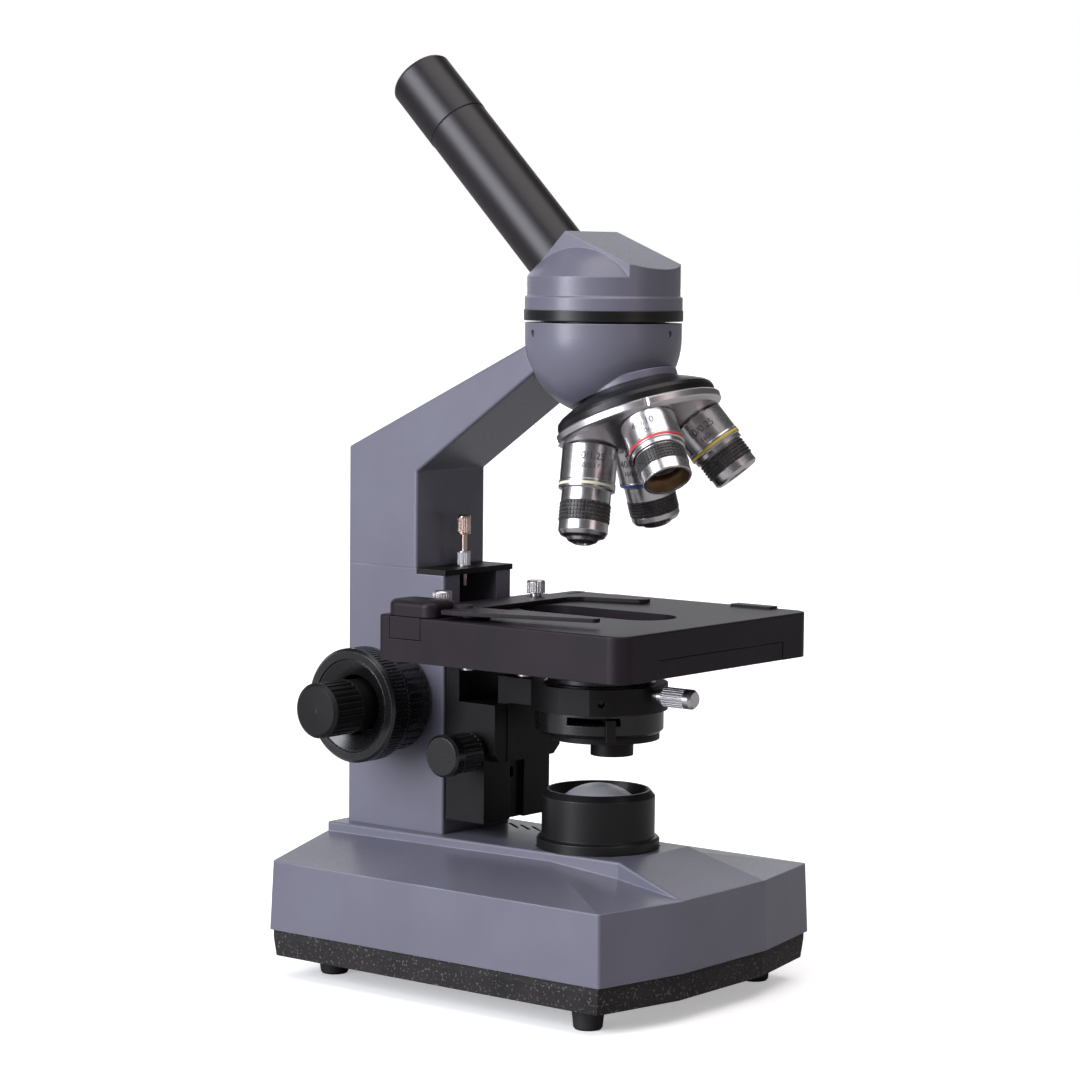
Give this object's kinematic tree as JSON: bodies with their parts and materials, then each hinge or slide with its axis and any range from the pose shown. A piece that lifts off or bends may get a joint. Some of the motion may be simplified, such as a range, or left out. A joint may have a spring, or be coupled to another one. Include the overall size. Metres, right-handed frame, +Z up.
{
  "type": "microscope",
  "caption": "Monocular student microscope with a cast stand, revolving nosepiece, mechanical stage, condenser and built-in lamp.",
  "frame": {"origin": "where the vertical optical axis meets the table under the rubber feet, with the stage lowered", "axes": "+Z up along the optical axis, -Y towards the front of the base, +X to the right seen from the front; the focusing knobs turn about X and the eyepiece tube leans towards +Y"},
  "size_m": [0.1481, 0.1821, 0.3701],
  "materials": {
    "blue_paint": "satin blue-grey paint on die-cast metal",
    "black_paint": "satin black paint or anodising on metal",
    "black_gloss": "gloss black lacquer on metal",
    "black_plastic": "matte black plastic with ribs",
    "base_black": "black speckled plastic",
    "rubber": "matte",
    "chrome": "polished",
    "satin_chrome": "satin",
    "steel": "satin",
    "brass": "satin",
    "glass": "polished",
    "frosted": "frosted",
    "led": "gloss"
  },
  "bodies": {
    "base": {"base_shell": "blue_paint", "base_plate": "base_black", "rubber_feet": "rubber", "base_screws": "steel", "lower_column": "blue_paint", "shelf_plate": "black_paint", "upper_arm": "blue_paint", "stop_nut": "chrome", "head_bowl": "blue_paint", "head_lock_screws": "steel", "illuminator_housing": "black_paint", "collector_lens": "frosted", "led_lamp": "led", "power_inlet": "black_plastic", "nosepiece_cover": "black_gloss", "nosepiece_axle": "steel"},
    "focus_block": {"focus_guide": "brass"},
    "fine_knobs": {"fine_knob_left": "black_plastic", "fine_knob_right": "black_plastic", "fine_shaft": "steel"},
    "coarse_knobs": {"coarse_knob_left": "black_plastic", "coarse_knob_right": "black_plastic", "coarse_shaft": "steel"},
    "stage_carrier": {"stage_carriage": "black_paint", "focus_rack": "brass", "stage_screws": "steel", "stage_lower_plate": "black_paint"},
    "moving_stage": {"stage_top": "black_paint", "control_housing": "black_paint"},
    "stage_y_knob": {"y_knob": "black_plastic"},
    "stage_x_knob": {"x_knob": "black_plastic"},
    "slide_holder": {"slider_bar": "black_paint", "slider_end_block": "black_paint", "holder_plate": "black_paint", "holder_thumbscrews": "chrome"},
    "finger": {"spring_finger": "black_paint"},
    "condenser_mount": {"condenser_slide": "black_paint", "condenser_holder": "black_paint", "condenser_body": "black_paint", "condenser_lens": "glass"},
    "condenser_focus_knob": {"condenser_knob": "black_plastic"},
    "condenser_clamp": {"condenser_clamp_screw": "chrome"},
    "iris": {"iris_lever": "black_paint"},
    "filter": {"filter_holder": "black_paint"},
    "nosepiece": {"nosepiece_turret": "chrome", "objective_100x": "satin_chrome", "objective_4x": "satin_chrome", "objective_10x": "satin_chrome", "objective_40x": "satin_chrome", "objective_grips": "black_paint", "objective_lenses": "glass"},
    "head": {"head_ring": "blue_paint", "head_housing": "blue_paint", "prism": "glass", "eyepiece_tube": "black_paint"},
    "ocular": {"eyepiece": "black_plastic", "eyepiece_lenses": "glass"},
    "switch": {"power_switch": "black_plastic"},
    "dial": {"brightness_dial": "black_plastic"},
    "stop": {"stop_screw": "brass"}
  },
  "joints": [
    {"name": "fine_focus", "type": "slide", "parent": "base", "child": "focus_block", "axis": [0, 0, 1], "range_m": [-0.0008, 0.0008]},
    {"name": "fine_knob_turn", "type": "hinge", "parent": "focus_block", "child": "fine_knobs", "pos_m": [0, 0.088, 0.11], "axis": [1, 0, 0], "range_deg": [-1441, 1441]},
    {"name": "stage_focus", "type": "slide", "parent": "focus_block", "child": "stage_carrier", "axis": [0, 0, 1], "range_m": [0, 0.0245]},
    {"name": "coarse_knob_turn", "type": "hinge", "parent": "focus_block", "child": "coarse_knobs", "pos_m": [0, 0.088, 0.11], "axis": [1, 0, 0], "range_deg": [-236, 1]},
    {"name": "stage_y_travel", "type": "slide", "parent": "stage_carrier", "child": "moving_stage", "axis": [0, 1, 0], "range_m": [-0.025, 0]},
    {"name": "stage_y_knob_turn", "type": "hinge", "parent": "moving_stage", "child": "stage_y_knob", "pos_m": [0.05, 0.0335, 0.12], "axis": [0, 0, 1], "range_deg": [-240, 1]},
    {"name": "slide_x_travel", "type": "slide", "parent": "moving_stage", "child": "slide_holder", "axis": [1, 0, 0], "range_m": [0, 0.05]},
    {"name": "stage_x_knob_turn", "type": "hinge", "parent": "moving_stage", "child": "stage_x_knob", "pos_m": [0.05, 0.0335, 0.104], "axis": [0, 0, 1], "range_deg": [-478, 1]},
    {"name": "finger_swing", "type": "hinge", "parent": "slide_holder", "child": "finger", "pos_m": [-0.048, 0.03, 0.152], "axis": [0, 0, 1], "range_deg": [-10, 0], "stiffness_Nm_per_rad": 0.05, "springref_deg": 5.73},
    {"name": "condenser_focus", "type": "slide", "parent": "stage_carrier", "child": "condenser_mount", "axis": [0, 0, 1], "range_m": [-0.008, 0.002]},
    {"name": "condenser_knob_turn", "type": "hinge", "parent": "stage_carrier", "child": "condenser_focus_knob", "pos_m": [0, 0.0465, 0.093], "axis": [1, 0, 0], "range_deg": [-24.5, 96]},
    {"name": "condenser_clamp_turn", "type": "hinge", "parent": "condenser_mount", "child": "condenser_clamp", "pos_m": [0, -0.03, 0.1197], "axis": [0, -1, 0], "range_deg": [-180, 180]},
    {"name": "iris_swing", "type": "hinge", "parent": "condenser_mount", "child": "iris", "pos_m": [0, 0, 0.11], "axis": [0, 0, 1], "range_deg": [-33, 4]},
    {"name": "filter_swing", "type": "hinge", "parent": "condenser_mount", "child": "filter", "pos_m": [0.014, 0.0155, 0.102], "axis": [0, 0, 1], "range_deg": [0, 80]},
    {"name": "nosepiece_turn", "type": "hinge", "parent": "base", "child": "nosepiece", "pos_m": [0, 0, 0.2729], "axis": [0, -0.3584, -0.9336], "continuous": true},
    {"name": "head_turn", "type": "hinge", "parent": "base", "child": "head", "pos_m": [0, 0, 0.266], "axis": [0, 0, 1], "continuous": true},
    {"name": "eyepiece_lift", "type": "slide", "parent": "head", "child": "ocular", "axis": [0, 0.7071, 0.7071], "range_m": [0, 0.03]},
    {"name": "power_rocker", "type": "hinge", "parent": "base", "child": "switch", "pos_m": [0.012, 0.1144, 0.034], "axis": [1, 0, 0], "range_deg": [-5, 5]},
    {"name": "brightness_turn", "type": "hinge", "parent": "base", "child": "dial", "pos_m": [0.0687, 0.02, 0.034], "axis": [1, 0, 0], "range_deg": [0, 270]},
    {"name": "stop_screw_turn", "type": "hinge", "parent": "base", "child": "stop", "pos_m": [0, 0.0698, 0.17], "axis": [0, 0, 1], "range_deg": [-180, 180]}
  ],
  "couplings": [
    {"joint": "fine_knob_turn", "follows": "fine_focus", "rad_per_m": 31416},
    {"joint": "coarse_knob_turn", "follows": "stage_focus", "rad_per_m": -166.67},
    {"joint": "stage_y_knob_turn", "follows": "stage_y_travel", "rad_per_m": 166.67},
    {"joint": "stage_x_knob_turn", "follows": "slide_x_travel", "rad_per_m": -166.67},
    {"joint": "condenser_knob_turn", "follows": "condenser_focus", "rad_per_m": -208.33}
  ]
}
